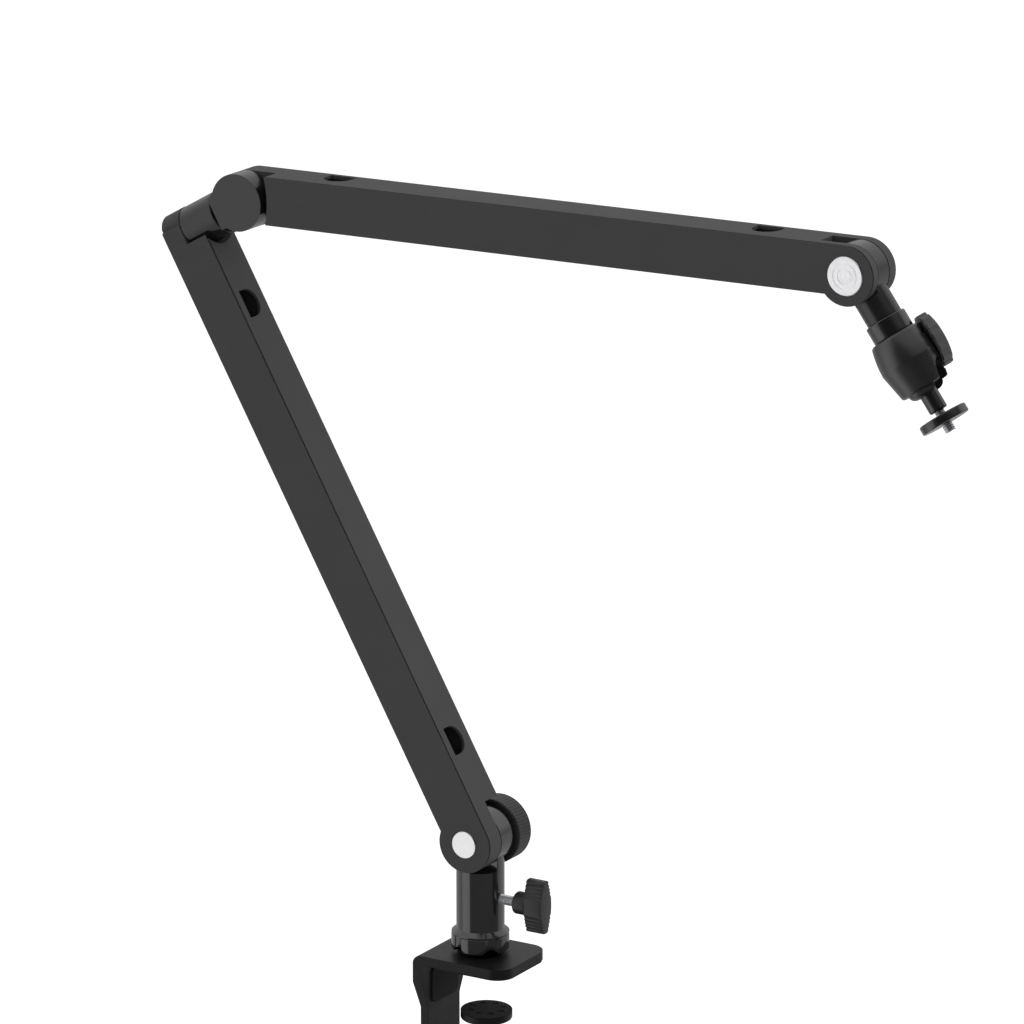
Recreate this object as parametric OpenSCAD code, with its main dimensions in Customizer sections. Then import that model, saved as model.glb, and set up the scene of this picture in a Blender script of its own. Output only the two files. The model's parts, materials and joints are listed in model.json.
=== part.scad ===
// Microphone boom arm: desk clamp, swivel post, two channel arms, elbow and ball head.
// Frame: origin on the desk top below the post, +X over the desk, +Z up, hinges along Y.

/* [Arms] */
// Width of both arms along the hinge axes
arm_w = 27; // [24:0.5:32]
// Radius of the round arm ends and of the parts that hinge in them
end_r = 16.7; // [15:0.1:18.5]
// Depth of an arm from its hinge line to its plain long edge
arm_back = 11; // [9:0.5:13]
// Wall of the arm channels
arm_wall = 2; // [1.8:0.1:3]
// Thickness of the flat cover plates
cover_t = 0.8; // [0.8:0.1:2]
// Groove between a cover plate and its channel
groove = 0.8; // [0.4:0.1:1.2]
// Lower arm, base hinge to swivel axis
lower_len = 386; // [300:5:460]
// Upper arm, elbow hinge to head hinge
upper_len = 393; // [300:5:460]
// Lean of the lower arm away from the desk
lower_lean = 29.7; // [15:0.1:40]
// Rise of the upper arm
upper_rise = 0.8; // [0:0.1:10]
// Length of a cable hole
hole_len = 16.8; // [14:0.2:20]

/* [Clamp] */
// Length of the top plate, over the desk
plate_l = 61.5; // [56:0.5:70]
// Width of the top plate, along the desk edge
plate_w = 51.2; // [46:0.4:60]
// Thickness of the clamp's steel
plate_t = 5.5; // [4:0.5:7]
// Distance from the post's axis to the outside of the clamp's back
back_x = 30.2; // [28:0.2:36]
// Clear height of the jaw when fully open
jaw_h = 62; // [56:1:75]
// Desk thickness the clamp is shown set to
desk_t = 28; // [24:1:34]
// Thickness of the rubber pads
pad_t = 1; // [0.8:0.1:1.6]
// Diameter of the clamp spindle
spindle_d = 12; // [10:0.5:14]
// Travel of one turn of the clamp spindle
spindle_pitch = 3; // [2:0.5:4]
// Diameter of the clamp's hand knob
hand_knob_d = 38; // [32:1:46]

/* [Post] */
// Height of the base hinge above the desk
hinge_h = 75.7; // [72:0.5:90]
// Diameter of the post
post_d = 27.9; // [25:0.1:30]
// Diameter of the pivot shaft inside the post
pivot_d = 12; // [10:0.5:14]
// Thickness of the post's ear
ear_t = 12.4; // [10:0.2:14]
// Thickness of the lower arm's hub beside the ear
hub_t = 13.4; // [11:0.2:15]
// Thickness of each friction washer
washer_t = 0.6; // [0.4:0.1:1]
// Lobes of the fluted lock ring
ring_lobes = 5; // [4:1:8]
// Height of the thumbscrew below the base hinge
thumb_drop = 35.2; // [32:0.2:38]
// Diameter of the thumbscrew's thread
thumb_d = 6; // [5:0.5:8]

/* [Knobs and bolts] */
// Diameter of the knurled tension knob
tension_d = 39; // [34:1:44]
// Length of the tension knob
tension_l = 13.6; // [9:0.2:15]
// Teeth of the tension knob's knurl
tension_teeth = 48; // [24:2:60]
// Diameter of the hinge bolts
bolt_d = 8; // [6:0.5:9]
// Diameter of the plain cap on the base hinge
base_cap_d = 16; // [14:0.5:20]
// Diameter of the turned cap on the head hinge
head_cap_d = 21.8; // [18:0.2:24]
// Diameter of the ball lock knob
lock_knob_d = 31; // [26:0.5:32]
// Scallops round the ball lock knob
lock_scallops = 14; // [8:1:20]

/* [Elbow] */
// Distance from the lower arm's middle line to the elbow hinge
elbow_reach = 45.7; // [44.6:0.1:49]
// Radius of the swivel barrel
barrel_r = 13.2; // [12:0.1:13.4]
// Thickness of the elbow knuckle
knuckle_t = 13; // [11:0.2:14]

/* [Head] */
// Tilt of the head from straight down
head_tilt = 36; // [20:1:50]
// Thickness of the head's tongue
tongue_t = 12; // [10:0.2:13]
// Radius of the ball
ball_r = 9.5; // [8.5:0.1:10.5]
// Widest radius of the ball housing
housing_r = 17; // [16.4:0.1:19]
// Distance from the head hinge to the ball's centre
ball_z = 64; // [62:0.5:68]
// Radius of the ball's stem
stem_r = 5.3; // [4.6:0.1:5.5]
// Radius of the locking disc
disc_r = 14.1; // [11:0.1:15]
// Thickness of the locking disc
disc_t = 5; // [4:0.5:6]
// Diameter of the camera screw
screw_d = 6.35; // [6.35:0.05:6.45]
// Length of the camera screw beyond the disc
screw_l = 4.8; // [4.5:0.1:6.5]

/* [Hidden] */

$fn = 64;
eps = 0.01;
fit = 0.15; // clearance of seated parts
run = 0.05; // radial clearance of a pin in its bore

// Places along Y, from the arms' covered side to the tension knob
ear_y0 = -ear_t / 2 + 2.4;
arm_y0 = ear_y0 - washer_t - hub_t;
arm_y1 = arm_y0 + arm_w;
arm_mid = arm_y0 + arm_w / 2;
ear_y1 = ear_y0 + ear_t;
knob_y0 = ear_y1 + washer_t + 2;
knob_y1 = knob_y0 + tension_l;
knob_gap = 0.5;
channel_y0 = arm_y0 + cover_t;

// Clamp
far = 80; // reach of the cuts that pass right through
back_in = back_x - plate_t;
plate_corner = 11;
pad_inset = 0.4;
pad_back = 2; // from the clamp's back to the desk pad
plate_x1 = plate_l - back_x;
plate_top = pad_t + plate_t;
jaw_z = -jaw_h;
jaw_w = 34;
spindle_x = 4;
pad_r = 15;
bush_r = spindle_d / 2 + 4;
bush_flange = 2;
bush_l = plate_t + 8;
bush_skirt = 8;
plate_z0 = -desk_t - pad_t;
socket_z0 = plate_z0 - plate_t - 4;
neck_of_spindle = 3.6;
ball_of_spindle = 4.8;
hand_knob_l = 14;
hand_knob_cone = 5;
spindle_drop = 47;
spindle_end = jaw_z - plate_t - spindle_drop;
rivet_r = 1.5;
rivet_z = -18;
rivet_y = 9;

// Post
post_r = post_d / 2;
pivot_r = pivot_d / 2;
step = 0.3; // end gap between pieces that turn on one another
boss_h = 2.7;
boss_r = post_r - 0.5;
pivot_screw_r = 4;
pivot_head_r = 7;
pivot_head_h = 2.8;
ring_z0 = plate_top + boss_h;
ring_r = post_r + 2.9;
ring_bore = pivot_r + 3;
ring_h = 9.3;
ring_wave = 1.2; // depth of the hollows between the lobes
arch_r = 5;
arch_drop = 2;
flange_r = post_r + 2.8;
flange_z0 = ring_z0 + ring_h + step;
flange_h = 0.7;
flare_h = 3;
shoulder_z = hinge_h - end_r - 1.3;
pivot_top = shoulder_z - 6;
bush_t = 1.6;
thumb_z = hinge_h - thumb_drop;
bite = 0.8;
thumb_x0 = pivot_r - bite + 0.2;
hub_x = post_r + 10.5;
hub_of_wing = 6.6;
stem_back = 3;
wing_x0 = hub_x + 7.9;
wing_x1 = wing_x0 + 11.6;
wing_half = 15.8;
wing_belly = 6.3;
wing_tip = 2.6;

// Arm ends
slot_end = end_r + 0.8;
head_slot_end = end_r + 1.8;
cavity_x0 = 34;
groove_d = 0.55 * arm_wall;
groove_stop = 3.5; // past the swivel axis, where the groove rounds the elbow end
barrel_seat = 2.4;
barrel_room = 2.3;
swivel_cut = barrel_r + barrel_room;
barrel_top = elbow_reach - end_r - 2;
knuckle_z0 = elbow_reach - end_r - 0.4;
knuckle_flange_r = barrel_r - 1.8;
knuckle_base = 20;
spigot_r = 7;
spigot_z0 = barrel_seat + 3;
swivel_screw_r = 3;
swivel_head_r = 6;
swivel_head_h = 3;
elbow_cut = end_r + 4.2;
elbow_cut_r = 60;
elbow_head_r = 7;
elbow_head_l = 6;
stud_d = 2.5;
stud_l = 9;
stud_boss_d = 6.5;
hole_r = hole_len / 2;
hole_side = 5.5; // straight part of a hole's short sides
lower_hole_low = 56.8; // cable holes, along each arm from its lower hinge
lower_hole_high = lower_len - 53;
upper_hole_near = 57.8;
upper_hole_far = upper_len - 58.2;
lower_hole_y = arm_y0 + 6.5;
upper_hole_y = arm_y1 - arm_wall - 1;
bolt_head = 12; // across flats
bolt_head_l = 3.2;
cap_out = 0.6;
nut_size = 13; // across flats
nut_l = 4;
knob_nut_l = 6.7;

// Head, along its own axis from the hinge
head_cap_t = 2.9;
neck_r = 10.3;
neck_z0 = end_r + 0.5;
collar_z0 = 29.7;
collar_r = 11.8;
housing_z0 = 40.2;
housing_mid = ball_z - 7;
housing_bow = 0.0092;
cone_r = housing_r - 2.9;
cone_z = ball_z + 8.3;
dome_r = ball_r + 1;
dome_z = ball_z + 9.1;
dome_h = 3.7;
cup_z0 = ball_z - ball_r - 7;
cup_t = 0.9;
post_of_head = 6;
floor_z1 = housing_z0 + 3.2;
clip_t = 1;
lock_z = ball_z - 11.5;
lock_turn = 44; // bearing of the lock knob round the housing
flat_x = housing_r - 3;
lock_x0 = flat_x + 0.3;
lock_l = 6.4;
lock_screw_r = 3;
lock_tip = 6;
notch_turn = 8; // bearing of the notch
notch_z0 = ball_z + 3.2;
notch_r = stem_r + 0.6;
mouth_r = notch_r + 0.2;
set_hole_r = 1.8;
set_hole_z = ball_z - 17.9;
set_hole_d = 4;
stem_end = ball_z + 23.2;
screw_seat = 8;
end_chamfer = 0.6;
screw_core = screw_d / 2 - 0.275; // radius within the disc and the stem
disc_z0 = stem_end + 2.9;
disc_z1 = disc_z0 + disc_t;
screw_end = disc_z1 + screw_l;
tongue_y0 = -tongue_t / 2;
fork_gap = 0.6;

elbow_x = -lower_len * sin(lower_lean) + elbow_reach * cos(lower_lean);
elbow_z = hinge_h + lower_len * cos(lower_lean) + elbow_reach * sin(lower_lean);
head_x = elbow_x + upper_len * cos(upper_rise);
head_z = elbow_z + upper_len * sin(upper_rise);

// Frames: an arm lies along X from its hinge with its holed edge at +Z
module in_lower() translate([0, 0, hinge_h]) rotate([0, -90 - lower_lean, 0]) mirror([0, 0, 1]) children();
module in_swivel() in_lower() translate([lower_len, arm_mid, 0]) children();
module in_upper() translate([elbow_x, 0, elbow_z]) rotate([0, -upper_rise, 0]) children();
module in_head_hinge() in_upper() translate([upper_len, 0, 0]) children();
module in_head() translate([head_x, arm_mid, head_z]) rotate([0, 180 - head_tilt, 0]) children();

// A straight run along Y of an outline drawn in X and Z
module along_y(y0, y1) translate([0, y1, 0]) rotate([90, 0, 0]) linear_extrude(y1 - y0) children();

module disc_y(r, y0, y1) along_y(y0, y1) circle(r);

// Disc with a chamfer on both rims
module turned(r, h, c = 0.5) rotate_extrude()
    polygon([[0, 0], [r - c, 0], [r, c], [r, h - c], [r - c, h], [0, h]]);

module washer_y(r, bore, y0, y1) difference() {
    disc_y(r, y0, y1);
    disc_y(bore, y0 - 1, y1 + 1);
}

module hex_y(across, y0, y1) along_y(y0, y1) circle(across / 2 / cos(30), $fn = 6);

// Rounded rectangle of true arcs
module soft_square(x, y, r) {
    translate([r, 0]) square([x - 2 * r, y]);
    translate([0, r]) square([x, y - 2 * r]);
    for (cx = [r, x - r], cy = [r, y - r]) translate([cx, cy]) circle(r);
}

// Knob outline with shallow scallops cut round its rim
module scalloped(r, n, depth) difference() {
    circle(r);
    for (i = [0:n - 1]) rotate(i * 360 / n) translate([r + 3 - depth, 0]) circle(3);
}

// Clamp frame: plate and jaw bent from one strip, with a tapped bush in the jaw
module clamp_side() {
    bend = 5.4;
    translate([-back_x + bend, pad_t]) square([plate_l - bend, plate_t]);
    translate([-back_x, jaw_z - plate_t + bend]) square([plate_t, jaw_h + plate_t + plate_top - 2 * bend]);
    translate([-back_x + bend, jaw_z - plate_t]) square([spindle_x + bush_r + 8 + back_x - bend, plate_t]);
    for (z = [plate_top - bend, jaw_z - plate_t + bend]) translate([-back_x + bend, z]) intersection() {
        circle(bend);
        translate([-bend, z > 0 ? 0 : -bend]) square(bend);
    }
}

module clamp_frame() color("#1d1d1f") difference() {
    intersection() {
        along_y(-plate_w / 2, plate_w / 2) clamp_side();
        union() {
            // top plate with round corners over the desk
            translate([-back_x, -plate_w / 2, 0]) linear_extrude(plate_top + 1) union() {
                translate([plate_l / 2, 0]) soft_square(plate_l / 2, plate_w, plate_corner);
                square([plate_l / 2 + plate_corner, plate_w]);
            }
            // back narrows down to the lower jaw
            translate([-back_x, 0, 0]) rotate([90, 0, 90]) linear_extrude(plate_t + 3)
                polygon([[-plate_w / 2, eps], [plate_w / 2, eps], [plate_w / 2, -10],
                    [jaw_w / 2, -28], [jaw_w / 2, jaw_z - plate_t], [-jaw_w / 2, jaw_z - plate_t],
                    [-jaw_w / 2, -28], [-plate_w / 2, -10]]);
            translate([0, 0, jaw_z - plate_t - 1]) linear_extrude(plate_t + 3) union() {
                translate([-back_x, -jaw_w / 2]) square([back_x + spindle_x, jaw_w]);
                translate([spindle_x, 0]) circle(jaw_w / 2);
            }
        }
    }
    translate([0, 0, -eps]) cylinder(r = pivot_screw_r + fit, h = plate_top + 1);
    translate([0, 0, -eps]) cylinder(r = pivot_head_r + fit, h = pad_t + pivot_head_h + fit);
    translate([spindle_x, 0, jaw_z - plate_t - 2]) cylinder(r = bush_r, h = plate_t + 4);
    // rivet holes of the back pad
    for (y = [-rivet_y, rivet_y]) translate([-back_x - 1, y, rivet_z]) rotate([0, 90, 0])
        cylinder(r = rivet_r + run, h = plate_t + 2);
}

module desk_pad() color("#2b2b2c") translate([-back_in + pad_back, -plate_w / 2 + pad_inset, 0])
    linear_extrude(pad_t) soft_square(plate_l - plate_t - pad_back - pad_inset, plate_w - 2 * pad_inset,
        plate_corner - pad_inset);

module edge_pad() color("#2b2b2c") {
    translate([-back_in, -14, rivet_z - 8]) rotate([90, 0, 90]) linear_extrude(pad_t) soft_square(28, 22, 4);
    for (y = [-rivet_y, rivet_y]) translate([-back_x + 1, y, rivet_z]) rotate([0, 90, 0])
        cylinder(r = rivet_r, h = plate_t);
}

module jaw_bush() color("#8f8f92") translate([spindle_x, 0, jaw_z - plate_t]) difference() {
    union() {
        translate([0, 0, plate_t - bush_l]) cylinder(r = bush_r - run, h = bush_l);
        translate([0, 0, -bush_skirt]) cylinder(r = bush_r + 1, h = bush_skirt - bush_flange);
    }
    translate([0, 0, -far / 2]) cylinder(r = spindle_d / 2 + run, h = far);
}

module clamp_spindle() color("#b9babd") translate([spindle_x, 0, 0]) {
    difference() {
        translate([0, 0, spindle_end + 2]) cylinder(d = spindle_d, h = socket_z0 - spindle_end - 2);
        // square thread, drawn as evenly spaced grooves
        for (z = [spindle_end + hand_knob_l + hand_knob_cone + 3:spindle_pitch:socket_z0 - 3])
            translate([0, 0, z]) rotate_extrude() translate([spindle_d / 2 - 0.9, 0]) square([2, spindle_pitch / 2]);
    }
    // headed end held in the pressure plate
    translate([0, 0, socket_z0 - eps]) cylinder(r = neck_of_spindle, h = 4 + 2 * eps);
    translate([0, 0, socket_z0 + 4]) cylinder(r = ball_of_spindle, h = 3);
}

module pressure_plate() color("#1d1d1f") translate([spindle_x, 0, socket_z0]) difference() {
    rotate_extrude() polygon([[0, 0.5], [8, 0.5], [8.5, 3], [pad_r - 0.6, 5.2], [pad_r, 5.8],
        [pad_r, 4 + plate_t], [0, 4 + plate_t]]);
    translate([0, 0, -1]) cylinder(r = neck_of_spindle + fit, h = 5.2);
    translate([0, 0, 3.9]) cylinder(r = ball_of_spindle + fit, h = 3.3);
}

module pressure_pad() color("#2b2b2c") translate([spindle_x, 0, plate_z0]) difference() {
    turned(pad_r, pad_t, 0.3);
    for (a = [0:45:315]) rotate(a) translate([9.5, 0, pad_t - 0.4]) cylinder(r = 2, h = 1);
}

module hand_knob() color("#1b1b1d") translate([spindle_x, 0, spindle_end]) difference() {
    union() {
        linear_extrude(hand_knob_l) scalloped(hand_knob_d / 2, 8, 2.4);
        translate([0, 0, hand_knob_l - eps]) cylinder(r1 = 13, r2 = 9, h = hand_knob_cone + eps);
    }
    translate([0, 0, 2]) cylinder(d = spindle_d + 2 * run, h = hand_knob_l + 10);
}

// Post: turns on the pivot shaft, held down by the lock ring
module pivot_shaft() color("#a9aaad") difference() {
    union() {
        translate([0, 0, plate_top]) cylinder(r = boss_r, h = boss_h - step);
        translate([0, 0, plate_top]) cylinder(r = ring_bore - run, h = flange_z0 - step - plate_top);
        translate([0, 0, plate_top]) cylinder(r = pivot_r, h = pivot_top - plate_top);
    }
    // groove that the thumbscrew presses in
    translate([0, 0, thumb_z - 5]) rotate_extrude() translate([pivot_r - bite, 0]) square([3, 10]);
    translate([0, 0, plate_top - 1]) cylinder(r = pivot_screw_r + run, h = 16);
}

// Countersunk from below, so that the pad lies flat on the desk
module pivot_screw() color("#8f8f92") difference() {
    union() {
        translate([0, 0, pad_t]) turned(pivot_head_r, pivot_head_h, 0.4);
        translate([0, 0, pad_t + 1]) cylinder(r = pivot_screw_r, h = plate_t + 13);
    }
    translate([0, 0, pad_t - 1]) cylinder(r = 2.9, h = 2.6, $fn = 6);
}

module lock_ring() color("#161617") difference() {
    translate([0, 0, ring_z0]) turned(ring_r, ring_h, 0.5);
    translate([0, 0, ring_z0 - 1]) cylinder(r = ring_bore, h = ring_h + 2);
    // a hollow and an arch between each two lobes
    for (i = [0:ring_lobes - 1]) rotate(-38 + i * 360 / ring_lobes) {
        translate([ring_r - ring_wave + arch_r, 0, ring_z0 - 1]) cylinder(r = arch_r, h = ring_h + 2);
        translate([ring_bore + 1.5, 0, ring_z0 - arch_drop]) rotate([0, 90, 0]) cylinder(r = arch_r, h = ring_r);
    }
}

module post_body() color("#141415") difference() {
    union() {
        rotate_extrude() polygon([[0, flange_z0], [flange_r, flange_z0], [flange_r, flange_z0 + flange_h],
            [post_r, flange_z0 + flare_h], [post_r, shoulder_z], [0, shoulder_z]]);
        // ear: a round end on a neck as wide as the post
        translate([0, 0, hinge_h]) disc_y(end_r, ear_y0, ear_y1);
        intersection() {
            translate([0, 0, shoulder_z - 8]) cylinder(r = post_r, h = hinge_h - shoulder_z + 8);
            translate([-post_r, ear_y0, shoulder_z - 8]) cube([post_d, ear_t, hinge_h - shoulder_z + 8]);
        }
    }
    translate([0, 0, flange_z0 - 1]) cylinder(r = pivot_r + bush_t, h = pivot_top + 1.5 - flange_z0);
    translate([0, 0, hinge_h]) disc_y(bolt_d / 2 + run, ear_y0 - 1, ear_y1 + 1);
    translate([0, 0, thumb_z]) rotate([0, 90, 0]) cylinder(d = thumb_d + 2 * run, h = post_r + 2);
    // room for the tension knob
    translate([0, 0, hinge_h]) disc_y(tension_d / 2 + knob_gap, knob_y0 - knob_gap, knob_y1);
}

module post_bush() color("#d9d4c6") difference() {
    translate([0, 0, flange_z0 + 0.2]) cylinder(r = pivot_r + bush_t - 0.02, h = pivot_top - flange_z0 - 0.4);
    translate([0, 0, flange_z0 - 1]) cylinder(r = pivot_r + run, h = pivot_top);
    translate([0, 0, thumb_z]) rotate([0, 90, 0]) cylinder(d = thumb_d + 2, h = post_r + 2);
}

// Thumbscrew: a steel stem in a wing with gripping ridges at both tips
module thumbscrew_stem() color("#c9cacd") translate([0, 0, thumb_z]) rotate([0, 90, 0]) {
    translate([0, 0, thumb_x0]) cylinder(d = thumb_d, h = wing_x1 - stem_back - thumb_x0);
}

module wing_outline() {
    bow = (wing_half * wing_half + (wing_belly - wing_tip) * (wing_belly - wing_tip)) / 2 / (wing_belly - wing_tip);
    intersection() {
        translate([0, wing_belly - bow]) circle(bow, $fn = 180);
        translate([0, bow - wing_belly]) circle(bow, $fn = 180);
        soft_square_at(2 * wing_half, 2 * wing_belly + 2, wing_tip);
    }
}

module soft_square_at(x, y, r) translate([-x / 2, -y / 2]) soft_square(x, y, r);

module thumbscrew_wing() color("#1b1b1d") translate([0, 0, thumb_z]) rotate([0, 90, 0]) difference() {
    union() {
        translate([0, 0, hub_x]) turned(hub_of_wing, wing_x0 - hub_x + 1, 1.2);
        difference() {
            translate([0, 0, wing_x0]) linear_extrude(wing_x1 - wing_x0) wing_outline();
            for (s = [-1, 1], t = [-1, 1], d = [7.2, 9.9, 12.6])
                translate([s * d, t * (wing_grip(d) + 0.15), wing_x0 - 1]) cylinder(r = 1, h = wing_x1 - wing_x0 + 0.2);
        }
    }
    translate([0, 0, hub_x - 1]) cylinder(d = thumb_d + 2 * run, h = wing_x1 - stem_back - hub_x + 1);
}

// Half thickness of the wing at a distance from its middle
function wing_grip(d) = let (rise = wing_belly - wing_tip,
    bow = (wing_half * wing_half + rise * rise) / 2 / rise) sqrt(bow * bow - d * d) - bow + wing_belly;

// Base hinge: bolt keyed in the lower arm, tightened by the knurled knob
module base_bolt() color("#c9cacd") translate([0, 0, hinge_h]) {
    disc_y(bolt_d / 2, channel_y0 + 1, knob_y1 - 3);
    hex_y(bolt_head, channel_y0, channel_y0 + bolt_head_l);
}

module base_cap() color("#e8e9ea") translate([0, arm_y0 - cap_out, hinge_h]) rotate([-90, 0, 0])
    turned(base_cap_d / 2, cap_out + cover_t, 0.4);

module base_washers() color("#d9d4c6") translate([0, 0, hinge_h]) {
    washer_y(end_r - 0.4, bolt_d / 2 + fit, ear_y0 - washer_t, ear_y0);
    washer_y(end_r - 0.4, bolt_d / 2 + fit, ear_y1, ear_y1 + washer_t);
    washer_y(10, bolt_d / 2 + fit, ear_y1 + washer_t, knob_y0);
}

module tension_knob() color("#1e1e20") translate([0, 0, hinge_h]) difference() {
    union() {
        disc_y(tension_d / 2 - 0.8, knob_y0, knob_y1);
        along_y(knob_y0 + 0.9, knob_y1 - 0.9) knurled(tension_d / 2, tension_teeth);
    }
    hex_y(nut_size, knob_y0 - 1, knob_y0 + knob_nut_l + step);
    disc_y(bolt_d / 2 + fit, knob_y0, knob_y1 - 2);
    // dished outer face
    translate([0, knob_y1 + 30, 0]) rotate([90, 0, 0]) cylinder(r = 13, h = 31.2);
}

module knurled(r, n) difference() {
    circle(r, $fn = 96);
    for (i = [0:n - 1]) rotate(i * 360 / n) translate([r + 0.35, 0]) rotate(45) square(1.5, center = true);
}

module tension_nut() color("#b79a55") translate([0, 0, hinge_h]) difference() {
    hex_y(nut_size - fit, knob_y0 + step, knob_y0 + knob_nut_l);
    disc_y(bolt_d / 2 + run, knob_y0 - 1, knob_y0 + knob_nut_l + 1);
}

// Arms
module arm_outline(len, round_far, r = end_r, back = arm_back, x1 = 0) {
    circle(r);
    translate([0, -back]) square([len, r + back]);
    if (round_far) translate([len, 0]) circle(r);
    else translate([0, -back]) square([len + x1, r + back]);
}

// D-shaped cable hole through the holed edge of an arm, its straight side at y = 0
module cable_hole() linear_extrude(end_r + 1) intersection() {
    translate([-hole_r, 0]) square([hole_len, hole_side + hole_r]);
    union() {
        translate([0, hole_side]) circle(hole_r);
        translate([-hole_r, 0]) square([hole_len, hole_side]);
    }
}

module groove_ring(len, round_far) along_y(channel_y0, channel_y0 + groove) difference() {
    translate([-far / 2, -far / 2]) square([len + far, far]);
    arm_outline(len, round_far, end_r - groove_d, arm_back - groove_d, groove_stop);
}

module stud_places(len) for (x = [cavity_x0 + 6, len / 2, len - cavity_x0 - 6])
    translate([x, 0, (end_r - arm_back) / 2]) children();

module stud_bosses(len) stud_places(len) disc_y(stud_boss_d / 2, channel_y0 + 1, arm_y1 - arm_wall + eps);

module stud_bores(len) stud_places(len) disc_y(stud_d / 2 + run, channel_y0 - 1, channel_y0 + stud_l + 1);

// Inside of a channel: an open trough with cross ribs
module trough(len) along_y(channel_y0 - 1, arm_y1 - arm_wall) difference() {
    translate([cavity_x0, -arm_back + arm_wall])
        soft_square(len - 2 * cavity_x0, end_r + arm_back - 2 * arm_wall, 1.5);
}

module trough_ribs(len) for (k = [1, 3]) translate([len * k / 4, arm_y1 - arm_wall - 3, -arm_back + 1])
    cube([1.6, 4, end_r + arm_back - 2]);

// Rounds the lower arm's elbow end in plan
module lower_plan() intersection() {
    children();
    translate([0, 0, -far / 2]) linear_extrude(far) {
        translate([-far, arm_y0]) square([lower_len + far, arm_w]);
        translate([lower_len, arm_mid]) circle(arm_w / 2);
    }
}

module lower_arm_channel() color("#2a2a2c") in_lower() difference() {
    union() {
        difference() {
            lower_plan() along_y(channel_y0, arm_y1) arm_outline(lower_len, false, x1 = arm_w / 2);
            trough(lower_len);
            groove_ring(lower_len, false);
        }
        stud_bosses(lower_len);
        trough_ribs(lower_len);
    }
    // room for the post's ear
    along_y(arm_y0 + hub_t, arm_y1 + 1) translate([slot_end - far, -far / 2]) square(far);
    disc_y(bolt_d / 2 + run, arm_y0 - 1, arm_y1);
    hex_y(bolt_head + fit, arm_y0 - 1, channel_y0 + bolt_head_l + fit);
    // round room for the swivel barrel
    translate([lower_len, arm_mid, barrel_seat]) cylinder(r = swivel_cut, h = far);
    translate([lower_len, arm_mid, -arm_back - 1]) cylinder(r = swivel_screw_r + run, h = far);
    translate([lower_len, arm_mid, -arm_back - 1]) cylinder(r = swivel_head_r + fit, h = swivel_head_h + 1.4);
    for (x = [lower_hole_low, lower_hole_high]) translate([x, lower_hole_y, 0]) cable_hole();
    stud_bores(lower_len);
}

module lower_arm_cover() color("#262628") in_lower() difference() {
    lower_plan() along_y(arm_y0, channel_y0) arm_outline(lower_len, false, x1 = arm_w / 2);
    translate([lower_len, arm_mid, barrel_seat]) cylinder(r = swivel_cut, h = far);
    disc_y(base_cap_d / 2 + fit, arm_y0 - 1, channel_y0 + 1);
}

// Studs behind a cover plate, pushed into the channel's bosses
module lower_cover_studs() color("#8f8f92") in_lower() stud_places(lower_len)
    disc_y(stud_d / 2, channel_y0, channel_y0 + stud_l);

// Elbow: barrel fixed in the lower arm, knuckle turning on it
module elbow_barrel() color("#1a1a1b") in_swivel() difference() {
    translate([0, 0, barrel_seat]) turned(barrel_r, barrel_top - barrel_seat, 0.6);
    translate([0, 0, barrel_seat - 1]) cylinder(r = spigot_r + bush_t, h = barrel_top);
}

module swivel_bush() color("#d9d4c6") in_swivel() difference() {
    translate([0, 0, barrel_seat + 2]) cylinder(r = spigot_r + bush_t - 0.02, h = barrel_top - barrel_seat - 2);
    translate([0, 0, barrel_seat]) cylinder(r = spigot_r + run, h = barrel_top);
}

module swivel_screw() color("#8f8f92") in_swivel() {
    translate([0, 0, -arm_back + 0.4]) cylinder(r = swivel_head_r, h = swivel_head_h);
    translate([0, 0, -arm_back + 1]) cylinder(r = swivel_screw_r, h = arm_back + spigot_z0 + 9);
}

module elbow_knuckle() color("#1a1a1b") in_swivel() difference() {
    union() {
        translate([0, arm_y0 - arm_mid, elbow_reach]) along_y(0, knuckle_t) union() {
            circle(end_r);
            translate([-knuckle_base / 2, knuckle_z0 - elbow_reach]) square([knuckle_base, elbow_reach - knuckle_z0]);
        }
        translate([0, 0, barrel_top + 0.2]) cylinder(r = knuckle_flange_r, h = knuckle_z0 - barrel_top);
        translate([0, 0, spigot_z0]) cylinder(r = spigot_r, h = barrel_top - spigot_z0 + 1);
    }
    translate([0, 0, spigot_z0 - 1]) cylinder(r = swivel_screw_r + run, h = 12);
    translate([0, 0, elbow_reach]) disc_y(bolt_d / 2 + run, arm_y0 - arm_mid + 4, knuckle_t);
}

module elbow_bolt() color("#8f8f92") in_upper() {
    disc_y(bolt_d / 2, arm_y0 + 5, arm_y1 - elbow_head_l + 1);
    disc_y(elbow_head_r, arm_y1 - elbow_head_l, arm_y1 - 1);
}

module elbow_washer() color("#d9d4c6") in_upper()
    washer_y(end_r - 2.5, bolt_d / 2 + fit, arm_y0 + knuckle_t, arm_y0 + knuckle_t + washer_t);

// Cut that clears the elbow knuckle
module elbow_room(y0, y1) along_y(y0, y1) intersection() {
    translate([elbow_cut - elbow_cut_r, 2]) circle(elbow_cut_r, $fn = 180);
    translate([-far, -far / 2]) square([far + elbow_cut + 1, far]);
}

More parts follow.
